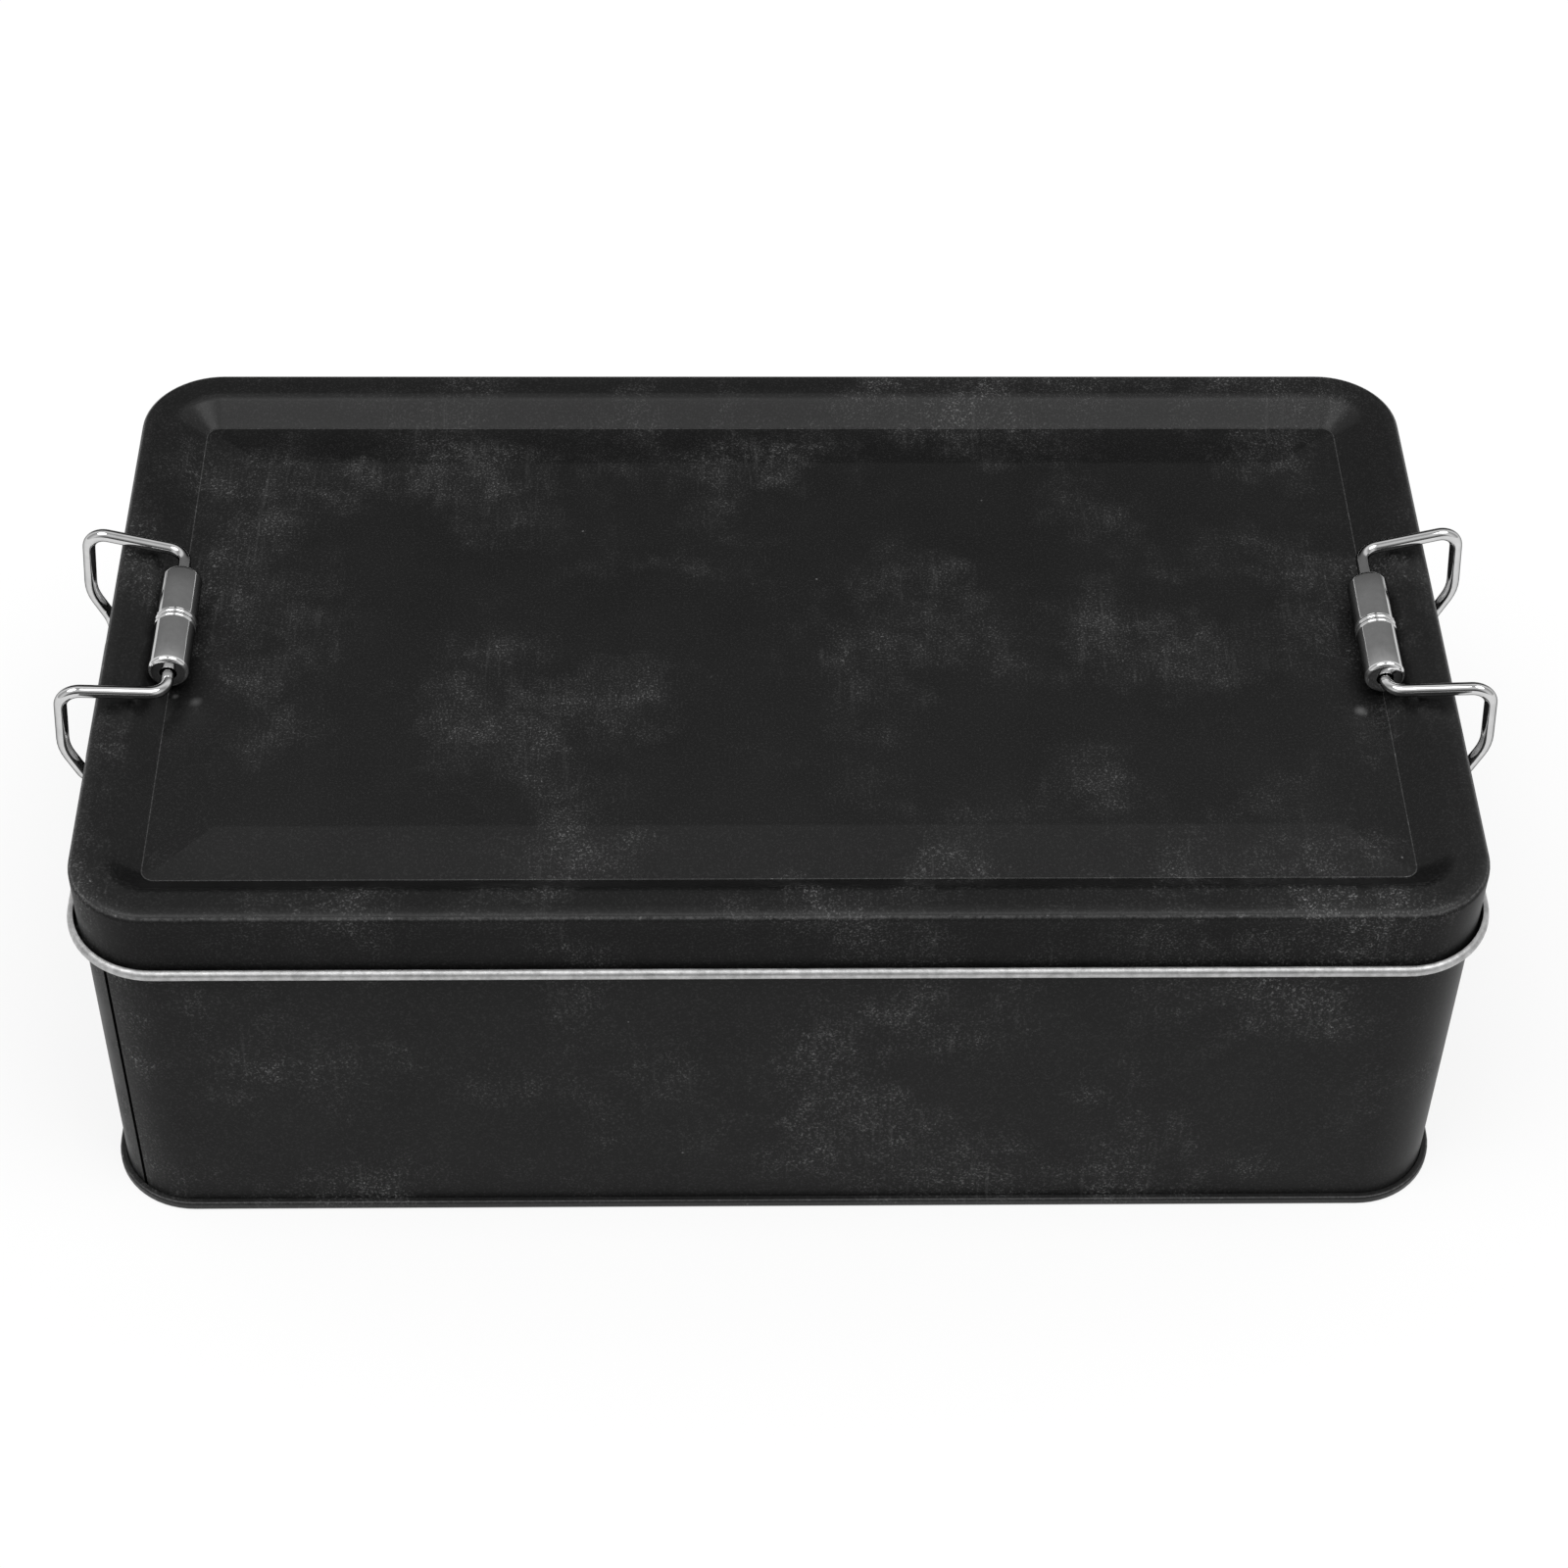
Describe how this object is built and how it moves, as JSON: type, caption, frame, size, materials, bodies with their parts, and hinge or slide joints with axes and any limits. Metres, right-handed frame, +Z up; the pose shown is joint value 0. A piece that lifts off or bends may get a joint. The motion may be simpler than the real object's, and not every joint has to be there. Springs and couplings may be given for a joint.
{
  "type": "lunch box",
  "caption": "Rectangular sheet-metal lunch box with a lift-off recessed lid, held down by a wire bail with a roller at each end.",
  "frame": {"origin": "middle of the base, on the surface that the box stands on", "axes": "+X to the right end along the box's length, +Y to the back, +Z up"},
  "size_m": [0.2444, 0.138, 0.0802],
  "materials": {
    "black_paint": "satin-matt black lacquer with a chalky mottling",
    "chrome": "bright nickel-chrome plating on steel",
    "bare_tinplate": "bare satin tinplate, on the lid's curled edge and the inside",
    "rivet_steel": "plated steel"
  },
  "bodies": {
    "box": {"body_wall": "black_paint", "base_panel": "black_paint", "bracket_left": "chrome", "bracket_right": "chrome", "bracket_rivets_left": "rivet_steel", "bracket_rivets_right": "rivet_steel"},
    "lid": {"lid": "black_paint"},
    "bail_left": {"bail_left": "chrome"},
    "bail_right": {"bail_right": "chrome"},
    "roller_left": {"roller_front_sleeve_left": "chrome", "roller_rear_sleeve_left": "chrome", "roller_core_left": "rivet_steel"},
    "roller_right": {"roller_front_sleeve_right": "chrome", "roller_rear_sleeve_right": "chrome", "roller_core_right": "rivet_steel"}
  },
  "joints": [
    {"name": "lid_lift", "type": "slide", "parent": "box", "child": "lid", "axis": [0, 0, 1], "range_m": [0, 0.12]},
    {"name": "bail_left_swing", "type": "hinge", "parent": "box", "child": "bail_left", "pos_m": [-0.1177, 0, 0.0571], "axis": [0, -1, 0], "range_deg": [0, 169]},
    {"name": "bail_right_swing", "type": "hinge", "parent": "box", "child": "bail_right", "pos_m": [0.1177, 0, 0.0571], "axis": [0, 1, 0], "range_deg": [0, 169]},
    {"name": "roller_left_spin", "type": "hinge", "parent": "bail_left", "child": "roller_left", "pos_m": [-0.10307, 0, 0.07656], "axis": [0, 1, 0], "continuous": true},
    {"name": "roller_right_spin", "type": "hinge", "parent": "bail_right", "child": "roller_right", "pos_m": [0.10307, 0, 0.07656], "axis": [0, 1, 0], "continuous": true}
  ]
}
